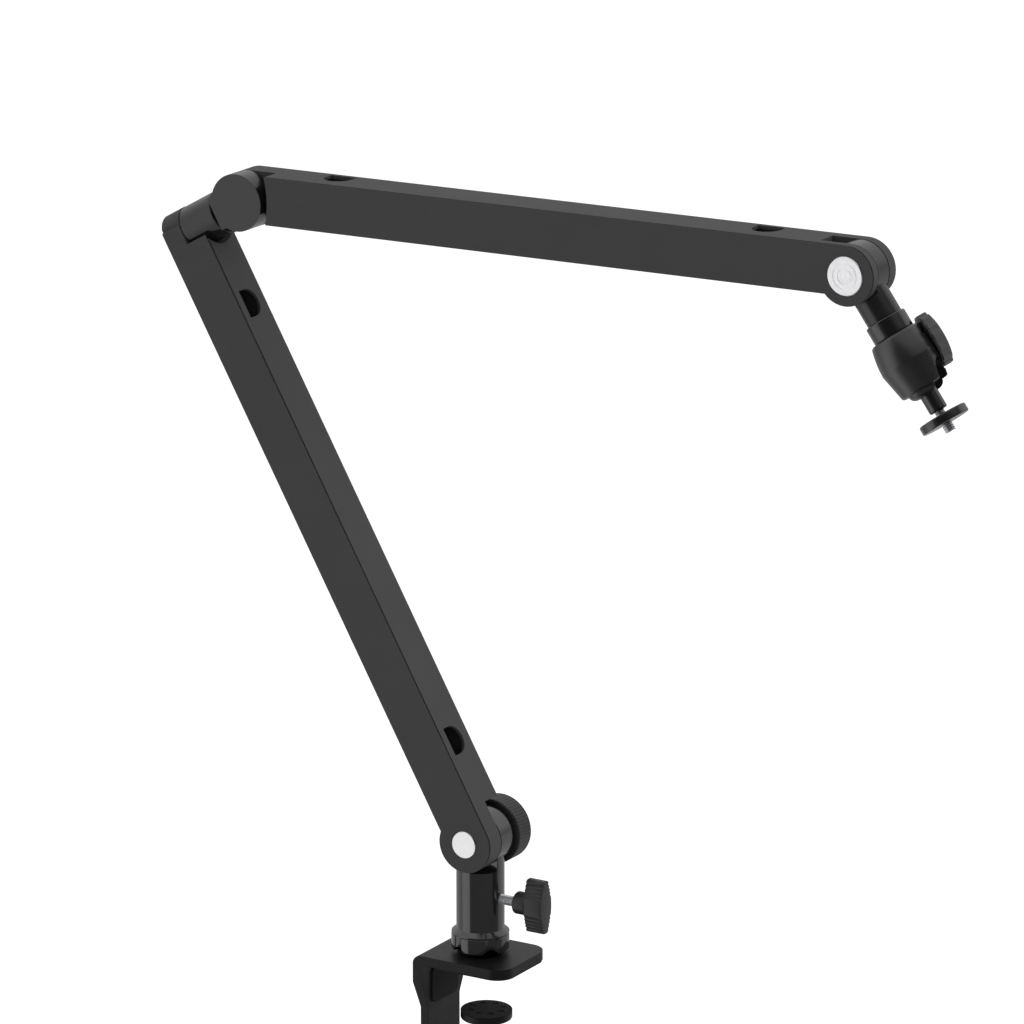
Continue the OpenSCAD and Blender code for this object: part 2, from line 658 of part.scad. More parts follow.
module upper_arm_channel() color("#2a2a2c") in_upper() difference() {
    union() {
        difference() {
            along_y(channel_y0, arm_y1) arm_outline(upper_len, true);
            trough(upper_len);
            groove_ring(upper_len, true);
        }
        stud_bosses(upper_len);
        trough_ribs(upper_len);
    }
    elbow_room(arm_y0 - 1, arm_y0 + knuckle_t + washer_t);
    disc_y(bolt_d / 2 + run, arm_y0, arm_y1 + 1);
    disc_y(elbow_head_r + fit, arm_y1 - elbow_head_l, arm_y1 + 1);
    // fork for the head's tongue
    along_y(arm_mid - tongue_t / 2 - fork_gap, arm_mid + tongue_t / 2 + fork_gap)
        translate([upper_len - head_slot_end, -far / 2]) square(far);
    translate([upper_len, 0, 0]) disc_y(bolt_d / 2 + run, arm_y0 - 1, arm_y1 + 1);
    translate([upper_len, 0, 0]) disc_y(head_cap_d / 2 + fit, arm_y0 - 1, arm_y0 + head_cap_t - cap_out + 0.1);
    translate([upper_len, 0, 0]) hex_y(nut_size, arm_y1 - nut_l - step - 0.1, arm_y1 + 1);
    for (x = [upper_hole_near, upper_hole_far]) translate([x, upper_hole_y, 0]) mirror([0, 1, 0]) cable_hole();
    stud_bores(upper_len);
}

module upper_arm_cover() color("#262628") in_upper() difference() {
    along_y(arm_y0, channel_y0) arm_outline(upper_len, true);
    elbow_room(arm_y0 - 1, channel_y0 + 1);
    translate([upper_len, 0, 0]) disc_y(head_cap_d / 2 + fit, arm_y0 - 1, channel_y0 + 1);
}

module upper_cover_studs() color("#8f8f92") in_upper() stud_places(upper_len)
    disc_y(stud_d / 2, channel_y0, channel_y0 + stud_l);

// Head hinge
module head_bolt() color("#8f8f92") in_head_hinge() disc_y(bolt_d / 2, arm_y0 + 1.5, arm_y1 - 0.6);

module head_cap() color("#e8e9ea") in_head_hinge() translate([0, arm_y0 - cap_out, 0]) rotate([-90, 0, 0])
    difference() {
        turned(head_cap_d / 2, head_cap_t, 0.5);
        // turned rings of the face
        for (r = [4, 7]) rotate_extrude() translate([r, -1]) square([0.4, 1.15]);
        translate([0, 0, 1.9]) cylinder(d = bolt_d + 2 * run, h = 2);
    }

module head_washers() color("#d9d4c6") in_head_hinge() for (s = [0, 1]) {
    y = arm_mid + (s == 0 ? -tongue_t / 2 - fork_gap : tongue_t / 2);
    washer_y(end_r - 1.2, bolt_d / 2 + fit, y, y + fork_gap);
}

module head_nut() color("#8f8f92") in_head_hinge() difference() {
    hex_y(nut_size - fit, arm_y1 - nut_l - step, arm_y1 - step);
    disc_y(bolt_d / 2 + run, arm_y1 - nut_l - 1, arm_y1 + 1);
}

module head_yoke() color("#161617") in_head() difference() {
    union() {
        disc_y(end_r - 0.2, tongue_y0, -tongue_y0);
        intersection() {
            cylinder(r = neck_r, h = neck_z0 + 1);
            translate([-neck_r, tongue_y0, 0]) cube([2 * neck_r, tongue_t, neck_z0 + 1]);
        }
        translate([0, 0, neck_z0]) cylinder(r = neck_r, h = collar_z0 - neck_z0);
        translate([0, 0, collar_z0 - 1]) cylinder(r = post_of_head, h = floor_z1 + 3 - collar_z0);
    }
    disc_y(bolt_d / 2 + run, tongue_y0 - 1, 1 - tongue_y0);
    // groove for the retaining clip
    translate([0, 0, floor_z1 + 0.1]) rotate_extrude() translate([post_of_head - 1, 0]) square([2, clip_t + 0.1]);
}

module swivel_collar() color("#161617") in_head() difference() {
    translate([0, 0, collar_z0 + 0.15]) turned(collar_r, housing_z0 - collar_z0 - 0.15, 0.5);
    translate([0, 0, collar_z0 - 1]) cylinder(r = post_of_head + run, h = 20);
}

// Clip that holds the housing on the yoke's post
module swivel_clip() color("#8f8f92") in_head() translate([0, 0, floor_z1 + 0.15]) linear_extrude(clip_t) difference() {
    circle(post_of_head + 1.6);
    circle(post_of_head - 1 + run);
    translate([0, -2]) square([20, 4]);
}

// Swells to its middle, runs in a cone to the shoulder and ends in a low dome
function housing_wall(z) = housing_r - housing_bow * (z - housing_mid) * (z - housing_mid);

module housing_profile() {
    side = [for (z = [housing_z0 + 0.8:2:housing_mid]) [housing_wall(z), z]];
    dome = [for (a = [0:15:90]) [mouth_r + 0.4 + (dome_r - mouth_r - 0.4) * cos(a), dome_z + dome_h * sin(a)]];
    polygon(concat([[0, housing_z0], [housing_wall(housing_z0) - 0.8, housing_z0]], side,
        [[cone_r, cone_z], [cone_r - 0.7, dome_z - 0.2]], dome, [[0, dome_z + dome_h]]));
}

// Turns what points along -X to a bearing round the head's axis
module round_head(turn) rotate([0, 0, -turn]) children();

module lock_frame() in_head() round_head(lock_turn) translate([0, 0, lock_z]) rotate([0, -90, 0]) children();

// Round seat for the ball, with a side notch for its stem
module ball_housing() color("#161617") in_head() difference() {
    rotate_extrude($fn = 96) housing_profile();
    translate([0, 0, ball_z]) sphere(ball_r + fit, $fn = 64);
    translate([0, 0, cup_z0]) cylinder(r = ball_r + fit, h = ball_z - cup_z0);
    translate([0, 0, floor_z1]) cylinder(r = ball_r - cup_t, h = cup_z0 + 1 - floor_z1);
    translate([0, 0, ball_z]) cylinder(r = mouth_r, h = far);
    translate([0, 0, housing_z0 - 1]) cylinder(r = post_of_head + run, h = 7);
    // flat under the lock knob
    round_head(lock_turn) {
        translate([-far - flat_x, -far / 2, housing_z0 - 1]) cube([far, far, lock_z + lock_knob_d / 2 + 2 - housing_z0]);
        translate([0, 0, lock_z]) rotate([0, -90, 0]) cylinder(r = lock_screw_r + run, h = far);
    }
    // notch that lets the stem fold over, and the set screw's hole below it
    round_head(notch_turn) {
        translate([-far, -notch_r, notch_z0]) cube([far, 2 * notch_r, far]);
        translate([-far, 0, notch_z0]) rotate([0, 90, 0]) cylinder(r = notch_r, h = far);
        translate([-housing_wall(set_hole_z) - 1, 0, set_hole_z]) rotate([0, 90, 0])
            cylinder(r = set_hole_r, h = set_hole_d + 1);
    }
}

// Cup under the ball, pressed against it by the lock screw
module ball_cup() color("#d9d4c6") in_head() difference() {
    translate([0, 0, cup_z0]) cylinder(r = ball_r - 0.1, h = ball_z - 4 - cup_z0);
    translate([0, 0, ball_z]) sphere(ball_r + 0.1, $fn = 64);
    round_head(lock_turn) translate([0, 0, lock_z]) rotate([0, -90, 0]) translate([0, 0, lock_tip - fit])
        cylinder(r = lock_screw_r + fit, h = far);
}

module lock_screw() color("#8f8f92") lock_frame() translate([0, 0, lock_tip])
    cylinder(r = lock_screw_r, h = lock_x0 + lock_l - 2 - lock_tip);

module lock_knob() color("#1b1b1d") lock_frame() difference() {
    union() {
        translate([0, 0, lock_x0 + 0.5]) linear_extrude(lock_l - 1) scalloped(lock_knob_d / 2, lock_scallops, 0.9);
        translate([0, 0, lock_x0]) cylinder(r = lock_knob_d / 2 - 1.4, h = lock_l);
    }
    translate([0, 0, lock_x0 - 1]) cylinder(r = lock_screw_r + run, h = lock_l - 1);
    translate([0, 0, lock_x0 + lock_l - 0.8]) rotate_extrude() translate([8, 0]) square([3.6, 1]);
}

module ball_stem() color("#1c1c1e") in_head() difference() {
    union() {
        translate([0, 0, ball_z]) sphere(ball_r, $fn = 64);
        translate([0, 0, ball_z]) cylinder(r = stem_r, h = stem_end - ball_z - end_chamfer);
        translate([0, 0, stem_end - end_chamfer]) cylinder(r1 = stem_r, r2 = stem_r - end_chamfer, h = end_chamfer);
    }
    translate([0, 0, stem_end - screw_seat]) cylinder(r = screw_core + run, h = screw_seat + 1);
}

module camera_screw() color("#8f8f92") in_head() {
    translate([0, 0, stem_end - screw_seat]) cylinder(r = screw_core, h = disc_z1 + step + screw_seat + eps - stem_end);
    translate([0, 0, disc_z1 + step]) cylinder(d = screw_d, h = screw_l - step - end_chamfer);
    translate([0, 0, screw_end - end_chamfer]) cylinder(d1 = screw_d, d2 = screw_d - 2 * end_chamfer, h = end_chamfer);
}

module lock_disc() color("#161617") in_head() difference() {
    translate([0, 0, disc_z0]) turned(disc_r, disc_t, 0.5);
    translate([0, 0, disc_z0 - 1]) cylinder(r = screw_core + run, h = disc_t + 2);
}

clamp_frame();
desk_pad();
edge_pad();
jaw_bush();
clamp_spindle();
pressure_plate();
pressure_pad();
hand_knob();
pivot_shaft();
pivot_screw();
lock_ring();
post_body();
post_bush();
thumbscrew_stem();
thumbscrew_wing();
base_bolt();
base_cap();
base_washers();
tension_knob();
tension_nut();
lower_arm_channel();
lower_arm_cover();
lower_cover_studs();
elbow_barrel();
swivel_bush();
swivel_screw();
elbow_knuckle();
elbow_bolt();
elbow_washer();
upper_arm_channel();
upper_arm_cover();
upper_cover_studs();
head_bolt();
head_cap();
head_washers();
head_nut();
head_yoke();
swivel_collar();
swivel_clip();
ball_housing();
ball_cup();
lock_screw();
lock_knob();
ball_stem();
camera_screw();
lock_disc();
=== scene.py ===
import json
import math
import bpy
from mathutils import Matrix, Vector


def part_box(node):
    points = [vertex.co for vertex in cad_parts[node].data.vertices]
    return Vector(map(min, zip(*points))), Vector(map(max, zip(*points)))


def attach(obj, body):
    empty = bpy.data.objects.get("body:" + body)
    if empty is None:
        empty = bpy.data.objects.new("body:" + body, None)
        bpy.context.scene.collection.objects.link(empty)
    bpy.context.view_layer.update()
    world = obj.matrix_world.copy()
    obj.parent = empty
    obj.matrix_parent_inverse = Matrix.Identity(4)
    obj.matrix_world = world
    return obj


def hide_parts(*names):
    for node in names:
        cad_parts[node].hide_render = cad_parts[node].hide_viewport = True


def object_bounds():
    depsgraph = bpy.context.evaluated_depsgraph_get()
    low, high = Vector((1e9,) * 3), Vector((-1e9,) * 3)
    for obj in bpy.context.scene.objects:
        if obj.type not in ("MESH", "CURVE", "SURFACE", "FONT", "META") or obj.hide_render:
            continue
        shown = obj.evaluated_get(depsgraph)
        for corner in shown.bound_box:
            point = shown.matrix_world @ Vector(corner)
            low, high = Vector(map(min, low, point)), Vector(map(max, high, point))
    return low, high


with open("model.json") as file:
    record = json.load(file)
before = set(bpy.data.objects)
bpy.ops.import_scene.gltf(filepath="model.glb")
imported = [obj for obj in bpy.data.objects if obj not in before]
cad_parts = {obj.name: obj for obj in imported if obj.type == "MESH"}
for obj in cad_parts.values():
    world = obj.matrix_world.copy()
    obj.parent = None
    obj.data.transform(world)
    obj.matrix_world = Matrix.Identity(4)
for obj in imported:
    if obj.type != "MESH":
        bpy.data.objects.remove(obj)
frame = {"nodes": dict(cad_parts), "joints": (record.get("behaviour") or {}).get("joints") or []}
cadBox = [list(corner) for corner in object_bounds()]
mm = 0.001


# Small helpers
def hexToLinear(code):
    channels = [int(code[i:i + 2], 16) / 255 for i in (1, 3, 5)]
    return tuple(c / 12.92 if c <= 0.04045 else ((c + 0.055) / 1.055) ** 2.4 for c in channels) + (1,)


def addNode(tree, kind, inputs=None, **settings):
    made = tree.nodes.new(kind)
    for key, value in settings.items():
        setattr(made, key, value)
    for key, value in (inputs or {}).items():
        if isinstance(value, bpy.types.NodeSocket):
            tree.links.new(value, made.inputs[key])
        else:
            made.inputs[key].default_value = value
    return made


def middleOf(node):
    low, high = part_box(node)
    return (low + high) / 2


def only(piece):
    bpy.ops.object.select_all(action="DESELECT")
    piece.select_set(True)
    bpy.context.view_layer.objects.active = piece


def joinTo(piece, other):
    only(piece)
    other.select_set(True)
    bpy.ops.object.join()


def applyModifiers(piece):
    only(piece)
    for modifier in list(piece.modifiers):
        bpy.ops.object.modifier_apply(modifier=modifier.name)


def placeInMesh(piece):
    only(piece)
    bpy.ops.object.transform_apply(location=True, rotation=True, scale=True)


def smoothBy(piece, degrees):
    only(piece)
    bpy.ops.object.shade_smooth_by_angle(angle=math.radians(degrees))


def bevelEdges(piece, width, steps, sharperThan):
    bevel = piece.modifiers.new("brokenEdge", "BEVEL")
    bevel.width = width * mm
    bevel.segments = steps
    bevel.limit_method = "ANGLE"
    bevel.angle_limit = math.radians(sharperThan)
    applyModifiers(piece)


def editFaces(piece, wanted):
    # opens the mesh with only the wanted faces selected
    only(piece)
    bpy.ops.object.mode_set(mode="EDIT")
    bpy.ops.mesh.select_mode(type="FACE")
    bpy.ops.mesh.select_all(action="DESELECT")
    bpy.ops.object.mode_set(mode="OBJECT")
    for face in piece.data.polygons:
        face.select = wanted(face)
    bpy.ops.object.mode_set(mode="EDIT")


def paint(piece, material):
    piece.data.materials.clear()
    piece.data.materials.append(material)


def rideAs(piece, body, node, material):
    paint(piece, material)
    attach(piece, body)
    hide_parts(node)


# Camera, solved from the clamp plate's edges and both arms
cameraView = {
    "spot": (1.8337, -2.9867, 1.2373),
    "right": (0.8549, 0.5188, 0.0),
    "up": (-0.1382, 0.2277, 0.9639),
    "forward": (-0.5000, 0.8240, -0.2663),
    "lens": 225.96, "sensor": 36,  # millimetres: a long lens
    "near": 0.05, "far": 60,
}


def placeCamera(view):
    bpy.ops.object.camera_add()
    camera = bpy.context.object
    camera.name = "photoCamera"
    camera.data.lens = view["lens"]
    camera.data.sensor_width = view["sensor"]
    camera.data.clip_start = view["near"]
    camera.data.clip_end = view["far"]
    right, up, forward = (Vector(view[way]).normalized() for way in ("right", "up", "forward"))
    turn = Matrix((right, up, -forward)).transposed().to_4x4()
    camera.matrix_world = Matrix.Translation(view["spot"]) @ turn
    bpy.context.scene.camera = camera


placeCamera(cameraView)
bpy.context.scene.view_settings.view_transform = "Standard"
print("camera set")

# Light: a pale room that the gloss mirrors, dark in front of the arm, with a tall softbox on its left
roomLight = {
    "ambient": 0.80,  # lights the matte surfaces evenly
    "seenBehind": 1.25,  # times the background's own 0.8, so that it shows as white
    "front": (0.5188, -0.8549, 0.0),  # level, from the arm towards the camera
    "aside": (0.8549, 0.5188, 0.0),
    # Soft edges: measured on, where the change starts and ends, brightness before and after it.
    # bearing is in radians round from the front, turnedAway is its size, height is the sine of the rise.
    "edges": {
        "softbox": ("bearing", -0.94, -0.86, 1.15, 0),
        "ceiling": ("height", 0.55, 0.75, 0, 0.70),
        "behind": ("turnedAway", 1.50, 1.75, 0, 1),
        "backWall": ("height", 0.0, 0.35, 0.50, 1.00),
        "frontWall": ("height", -0.12, 0.06, 0.20, 0.05),
    },
}


def makeRoom(room):
    world = bpy.data.worlds.new("paleRoom")
    bpy.context.scene.world = world
    world.use_nodes = True
    world.cycles.sampling_method = "NONE"
    tree = world.node_tree
    tree.nodes.clear()
    direction = addNode(tree, "ShaderNodeTexCoord").outputs["Generated"]
    toward = {}
    for way in ("front", "aside"):
        toward[way] = addNode(tree, "ShaderNodeVectorMath", {0: direction, 1: room[way]},
                              operation="DOT_PRODUCT").outputs["Value"]
    bearing = addNode(tree, "ShaderNodeMath", {0: toward["aside"], 1: toward["front"]},
                      operation="ARCTAN2").outputs[0]
    measures = {
        "bearing": bearing,
        "turnedAway": addNode(tree, "ShaderNodeMath", {0: bearing}, operation="ABSOLUTE").outputs[0],
        "height": addNode(tree, "ShaderNodeSeparateXYZ", {0: direction}).outputs["Z"],
    }
    glow = {}
    for name, (measure, start, end, before, after) in room["edges"].items():
        glow[name] = addNode(tree, "ShaderNodeMapRange", {
            "Value": measures[measure], "From Min": start, "From Max": end, "To Min": before, "To Max": after,
        }, interpolation_type="SMOOTHSTEP").outputs["Result"]
    walls = addNode(tree, "ShaderNodeMix", {
        "Factor": glow["behind"], "A": glow["softbox"], "B": glow["backWall"]}).outputs["Result"]
    upper = addNode(tree, "ShaderNodeMath", {0: walls, 1: glow["ceiling"]}, operation="MAXIMUM")
    mirrored = addNode(tree, "ShaderNodeMath", {0: upper.outputs[0], 1: glow["frontWall"]}, operation="ADD")
    rays = addNode(tree, "ShaderNodeLightPath").outputs
    onObject = addNode(tree, "ShaderNodeMix", {
        "Factor": rays["Is Glossy Ray"], "A": room["ambient"], "B": mirrored.outputs[0]})
    strength = addNode(tree, "ShaderNodeMix", {
        "Factor": rays["Is Camera Ray"], "A": onObject.outputs["Result"], "B": room["seenBehind"]})
    glowing = addNode(tree, "ShaderNodeBackground", {"Strength": strength.outputs["Result"]})
    addNode(tree, "ShaderNodeOutputWorld", {"Surface": glowing.outputs[0]})


softLamps = {
    # name: place, size, power
    "softLampLeft": ((-1.2, -1.3, 2.4), 1.6, 5),
    "softLampRight": ((2.4, 0.1, 1.0), 1.4, 28),
}
lampsAimAt = Vector((0.05, 0, 0.25))


def hangLamp(name, spot, size, power):
    bpy.ops.object.light_add(type="AREA", location=spot)
    lamp = bpy.context.object
    lamp.name = name
    lamp.data.shape = "DISK"
    lamp.data.size = size
    lamp.data.energy = power
    lamp.visible_glossy = False
    lamp.rotation_euler = (lampsAimAt - Vector(spot)).to_track_quat("-Z", "Y").to_euler()


# Floor: far enough below the hand knob that the lowered jaw clears it
floorLook = {"size": 40, "gap": 24 * mm, "colour": "#e2e2e2", "glow": 0.56}


def makeFloor(look):
    bpy.ops.mesh.primitive_plane_add(size=look["size"], location=(0, 0, cadBox[0][2] - look["gap"]))
    floor = bpy.context.object
    floor.name = "paleFloor"
    floor.visible_glossy = False
    floorPaint = bpy.data.materials.new("matte floor paint")
    floorPaint.use_nodes = True
    tree = floorPaint.node_tree
    tree.nodes.clear()
    seen = addNode(tree, "ShaderNodeLightPath").outputs["Is Camera Ray"]
    whitening = addNode(tree, "ShaderNodeMath", {0: seen, 1: look["glow"]}, operation="MULTIPLY")
    matte = addNode(tree, "ShaderNodeBsdfDiffuse", {"Color": hexToLinear(look["colour"])})
    glow = addNode(tree, "ShaderNodeEmission", {"Strength": whitening.outputs[0]})
    both = addNode(tree, "ShaderNodeAddShader", {0: matte.outputs[0], 1: glow.outputs[0]})
    addNode(tree, "ShaderNodeOutputMaterial", {"Surface": both.outputs[0]})
    paint(floor, floorPaint)


makeRoom(roomLight)
for lampName, lampSettings in softLamps.items():
    hangLamp(lampName, *lampSettings)
makeFloor(floorLook)
print("light and floor set")

# Kinds of finish. A pattern is the width of one grain and its detail; tone names the pattern that shifts
# the colour, rough the one that shifts the roughness and by how much, and relief the one that is raised,
# its depth and its strength.
finishKinds = {
    # bead-blasted aluminium, anodised black: even and dull, with a very fine grain and no sparkle;
    # real grit marks are near 0.15 mm, drawn coarser so that they show
    "anodised": {
        "patterns": {"gritMarks": (0.7 * mm, 2), "clouds": (55 * mm, 3)},
        "tone": "clouds", "rough": ("gritMarks", -0.05, 0.05), "relief": ("gritMarks", 0.035 * mm, 0.5),
        "surface": {"Specular IOR Level": 0.35},
    },
    # black coat on cast zinc or turned steel: clear or satin reflections and a faint orange peel
    "coat": {
        "patterns": {"orangePeel": (3.5 * mm, 1), "handling": (18 * mm, 4)},
        "tone": "handling", "rough": ("handling", 0, 0.05), "relief": ("orangePeel", 0.012 * mm, 0.35),
        "surface": {"Specular IOR Level": 1.0},
    },
    # engineering plastic from a spark-eroded mould: soft, with a fine pebble
    "moulded": {
        "patterns": {"pebble": (0.5 * mm, 2), "flow": (9 * mm, 3)},
        "tone": "flow", "rough": ("pebble", -0.06, 0.06), "relief": ("pebble", 0.05 * mm, 0.6),
        "surface": {"IOR": 1.53},
    },
    # bent steel under black powder coat: low sheen, with a finely pimpled skin
    "powderCoat": {
        "patterns": {"pimples": (1.1 * mm, 2), "clouds": (30 * mm, 3)},
        "tone": "clouds", "rough": ("pimples", -0.06, 0.06), "relief": ("pimples", 0.06 * mm, 0.5),
        "surface": {"Specular IOR Level": 0.25},
    },
    # nitrile rubber: dull and slightly mottled
    "rubber": {
        "patterns": {"mottle": (0.9 * mm, 3)},
        "tone": "mottle", "rough": ("mottle", 0, 0.12), "relief": ("mottle", 0.08 * mm, 0.6),
        "surface": {"Specular IOR Level": 0.3},
    },
    # lathe-turned aluminium, clear anodised: bright, with fine rings that each cap gives its own centre
    "turned": {
        "patterns": {"scuffs": (2.5 * mm, 3)},
        "tone": "scuffs", "rough": ("scuffs", -0.04, 0.06), "relief": ("rings", 0.02 * mm, 0.35),
        "surface": {"Metallic": 1.0},
    },
    # zinc-plated or plain machined metal: bright, lightly streaked by handling
    "machined": {
        "patterns": {"streaks": (1.5 * mm, 4)},
        "tone": "streaks", "rough": ("streaks", -0.06, 0.08), "relief": ("streaks", 0.01 * mm, 0.4),
        "surface": {"Metallic": 1.0},
    },
}
patternRange = {"From Min": 0.3, "From Max": 0.7}  # a noise keeps between these nearly everywhere
patternRoughness = 0.55


def turnedRings(tree, place, centre, ringWidth):
    # lathe marks round an axis along Y through the centre
    moved = addNode(tree, "ShaderNodeMapping", {"Vector": place, "Location": [-c for c in centre]}).outputs[0]
    flat = addNode(tree, "ShaderNodeVectorMath", {0: moved, 1: (1, 0, 1)}, operation="MULTIPLY").outputs[0]
    distance = addNode(tree, "ShaderNodeVectorMath", {0: flat}, operation="LENGTH").outputs["Value"]
    phase = addNode(tree, "ShaderNodeMath", {0: distance, 1: 2 * math.pi / ringWidth}, operation="MULTIPLY")
    wave = addNode(tree, "ShaderNodeMath", {0: phase.outputs[0]}, operation="SINE").outputs[0]
    return addNode(tree, "ShaderNodeMapRange", {"Value": wave, "From Min": -1}).outputs["Result"]


def makeFinish(name, kind, dark, light, roughness, **own):
    look = {**finishKinds[kind], **own}
    material = bpy.data.materials.new(name)
    material.use_nodes = True
    tree = material.node_tree
    tree.nodes.clear()
    place = addNode(tree, "ShaderNodeTexCoord").outputs["Object"]
    patterns = {}
    for pattern, (width, detail) in look["patterns"].items():
        patterns[pattern] = addNode(tree, "ShaderNodeTexNoise", {
            "Vector": place, "Scale": 1 / width, "Detail": detail, "Roughness": patternRoughness,
        }).outputs["Fac"]
    if "rings" in look:
        patterns["rings"] = turnedRings(tree, place, *look["rings"])
    tone = addNode(tree, "ShaderNodeMapRange", {
        "Value": patterns[look["tone"]], **patternRange}).outputs["Result"]
    # a colour mix takes its two colours in at 6 and 7 and gives its own out at 2
    colour = addNode(tree, "ShaderNodeMix", {
        "Factor": tone, 6: hexToLinear(dark), 7: hexToLinear(light)}, data_type="RGBA").outputs[2]
    roughBy, smoother, rougher = look["rough"]
    rough = addNode(tree, "ShaderNodeMapRange", {
        "Value": patterns[roughBy], **patternRange,
        "To Min": roughness + smoother, "To Max": roughness + rougher}).outputs["Result"]
    raised, depth, strength = look["relief"]
    relief = addNode(tree, "ShaderNodeBump", {
        "Height": patterns[raised], "Distance": depth, "Strength": strength}).outputs["Normal"]
    surface = addNode(tree, "ShaderNodeBsdfPrincipled", {
        "Base Color": colour, "Roughness": rough, "Normal": relief, **look["surface"]})
    addNode(tree, "ShaderNodeOutputMaterial", {"Surface": surface.outputs[0]})
    return material


armBlack = makeFinish("black anodised aluminium, bead-blasted", "anodised", "#3d3d3d", "#414141", 0.62)
coverBlack = makeFinish("black anodised aluminium sheet", "anodised", "#3c3c3c", "#404040", 0.60)
postBlack = makeFinish("glossy black electrocoat on die-cast zinc", "coat", "#1a1a1b", "#1d1d1e", 0.10)
jointBlack = makeFinish("gloss black enamel on die-cast zinc", "coat", "#171718", "#1a1a1b", 0.20,
                        surface={"Specular IOR Level": 0.6})
headBlack = makeFinish("dark gloss electrocoat on turned steel", "coat", "#0c0c0d", "#101011", 0.20)
housingBlack = makeFinish("satin black electrocoat on die-cast zinc", "coat", "#161617", "#1a1a1b", 0.32)
knobBlack = makeFinish("black glass-filled nylon", "moulded", "#1f1f1f", "#252525", 0.45)
# the lock knob is the same black nylon as the other knobs, drawn lighter: the extra lightness is painted
# light, standing in for the light the knob catches
paintedLightKnobBlack = makeFinish("black glass-filled nylon, lightened as painted light", "moulded", "#434343", "#494949", 0.45)
washerBlack = makeFinish("black acetal resin", "moulded", "#0e0e0e", "#131313", 0.4)
washerPale = makeFinish("natural acetal resin", "moulded", "#cfc9b8", "#d8d3c4", 0.4)
clampBlack = makeFinish("black powder coat on steel", "powderCoat", "#101010", "#141414", 0.45)
padRubber = makeFinish("black nitrile rubber", "rubber", "#1c1c1c", "#242424", 0.8)
boltSteel = makeFinish("zinc-plated steel", "machined", "#b4b5b8", "#cfd0d2", 0.28)
shaftSteel = makeFinish("black-oxide steel", "machined", "#1b1b1d", "#262628", 0.4)
nutBrass = makeFinish("free-cutting brass", "machined", "#b08d4a", "#c9a660", 0.3)
rodSteel = makeFinish("bright zinc-plated thread", "machined", "#d6d7da", "#e4e5e7", 0.34,
                      patterns={"streaks": (0.8 * mm, 4)})
baseCapMetal = makeFinish("turned aluminium, fine face", "turned", "#e9e9ea", "#f1f1f2", 0.30,
                          rings=(middleOf("base_cap"), 0.9 * mm))
headCapMetal = makeFinish("turned aluminium, ringed face", "turned", "#ececee", "#f2f2f4", 0.28,
                          rings=(middleOf("head_cap"), 2.2 * mm))
print("materials made")

# Pieces that keep their construction mesh
keptPieces = [
    (padRubber, ["desk_pad", "edge_pad", "pressure_pad"]),
    (boltSteel, ["jaw_bush", "pivot_screw", "base_bolt", "lower_cover_studs", "swivel_screw", "elbow_bolt",
                 "upper_cover_studs", "head_bolt", "head_nut", "swivel_clip", "lock_screw"]),
    (shaftSteel, ["pivot_shaft"]),
    (nutBrass, ["tension_nut"]),
    (washerPale, ["post_bush", "swivel_bush", "ball_cup"]),
    (washerBlack, ["base_washers", "elbow_washer", "head_washers"]),
    (baseCapMetal, ["base_cap"]),
    (headCapMetal, ["head_cap"]),
    (headBlack, ["ball_stem"]),
]
for finish, nodes in keptPieces:
    for node in nodes:
        paint(frame["nodes"][node], finish)
print("kept pieces painted")

# Pieces whose edges are broken, as castings and cut sheet have them
brokenEdges = {
    # node: piece, body, slot, finish, edge width in mm, steps
    "clamp_frame": ("clampFrame", "clamp", "clamp_steel", clampBlack, 1.3, 4),
    "pressure_plate": ("pressurePlate", "jaw", "clamp_steel", clampBlack, 0.4, 2),
    "hand_knob": ("handKnob", "spindle", "knob_plastic", knobBlack, 0.8, 3),
    "lock_ring": ("lockRing", "lock_ring", "ring_black", postBlack, 0.35, 2),
    "post_body": ("postBody", "post", "joint_gloss", postBlack, 0.35, 2),
    "lower_arm_channel": ("lowerChannel", "lower_arm", "arm_anodised", armBlack, 0.15, 2),
    "lower_arm_cover": ("lowerCover", "lower_arm", "cover_anodised", coverBlack, 0.15, 2),
    "upper_arm_channel": ("upperChannel", "upper_arm", "arm_anodised", armBlack, 0.15, 2),
    "upper_arm_cover": ("upperCover", "upper_arm", "cover_anodised", coverBlack, 0.15, 2),
    "elbow_barrel": ("elbowBarrel", "lower_arm", "joint_gloss", jointBlack, 0.3, 2),
    "elbow_knuckle": ("elbowKnuckle", "knuckle", "joint_gloss", jointBlack, 0.4, 2),
    "head_yoke": ("headYoke", "yoke", "joint_gloss", jointBlack, 0.35, 2),
    "swivel_collar": ("swivelCollar", "head", "joint_gloss", headBlack, 0.3, 2),
    "ball_housing": ("ballHousing", "head", "joint_gloss", housingBlack, 0.35, 2),
    # the lock knob wears the lighter copy of the knob nylon, whose extra lightness is painted light
    "lock_knob": ("lockKnob", "lock_knob", "knob_plastic", paintedLightKnobBlack, 0.4, 2),
    "lock_disc": ("lockDisc", "disc", "ring_black", headBlack, 0.3, 2),
}
edgeWork = {
    "merge": 0.002 * mm,
    "flatWithin": 0.3, "bevelOver": 38, "smoothTo": 32, "housingSmoothTo": 50,  # degrees
    "coverGap": 0.35 * mm,  # the covers' backs stand this much further out, so that the grooves show
}


